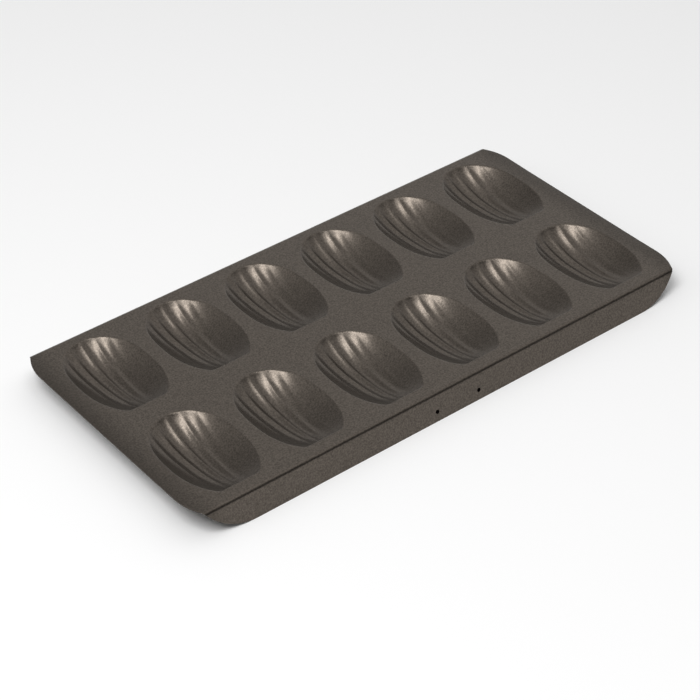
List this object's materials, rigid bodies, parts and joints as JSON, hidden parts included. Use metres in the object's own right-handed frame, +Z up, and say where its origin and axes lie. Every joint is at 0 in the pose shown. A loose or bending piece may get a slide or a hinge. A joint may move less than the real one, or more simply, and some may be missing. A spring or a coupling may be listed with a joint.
{
  "type": "madeleine pan",
  "caption": "Pressed steel baking pan with rows of fluted scallop-shell moulds in a flat deck, and a flared flange along each long side.",
  "frame": {"origin": "middle of the pan's footprint, on the surface that the flanges' lower edges rest on", "axes": "+X along the long side, +Y from the flange with the two small holes (shell hinges' side) to the other flange (shell tips' side), +Z up"},
  "size_m": [0.395, 0.2066, 0.0179],
  "materials": {
    "coated_steel": "satin warm grey non-stick coating with a fine fleck, baked on both faces of the pressed steel sheet"
  },
  "bodies": {
    "root": {"mould_near_1": "coated_steel", "mould_near_2": "coated_steel", "mould_near_3": "coated_steel", "mould_near_4": "coated_steel", "mould_near_5": "coated_steel", "mould_near_6": "coated_steel", "mould_far_1": "coated_steel", "mould_far_2": "coated_steel", "mould_far_3": "coated_steel", "mould_far_4": "coated_steel", "mould_far_5": "coated_steel", "mould_far_6": "coated_steel", "near_margin": "coated_steel", "centre_strip": "coated_steel", "far_margin": "coated_steel", "left_margin": "coated_steel", "right_margin": "coated_steel", "near_flange": "coated_steel", "far_flange": "coated_steel"}
  },
  "joints": []
}
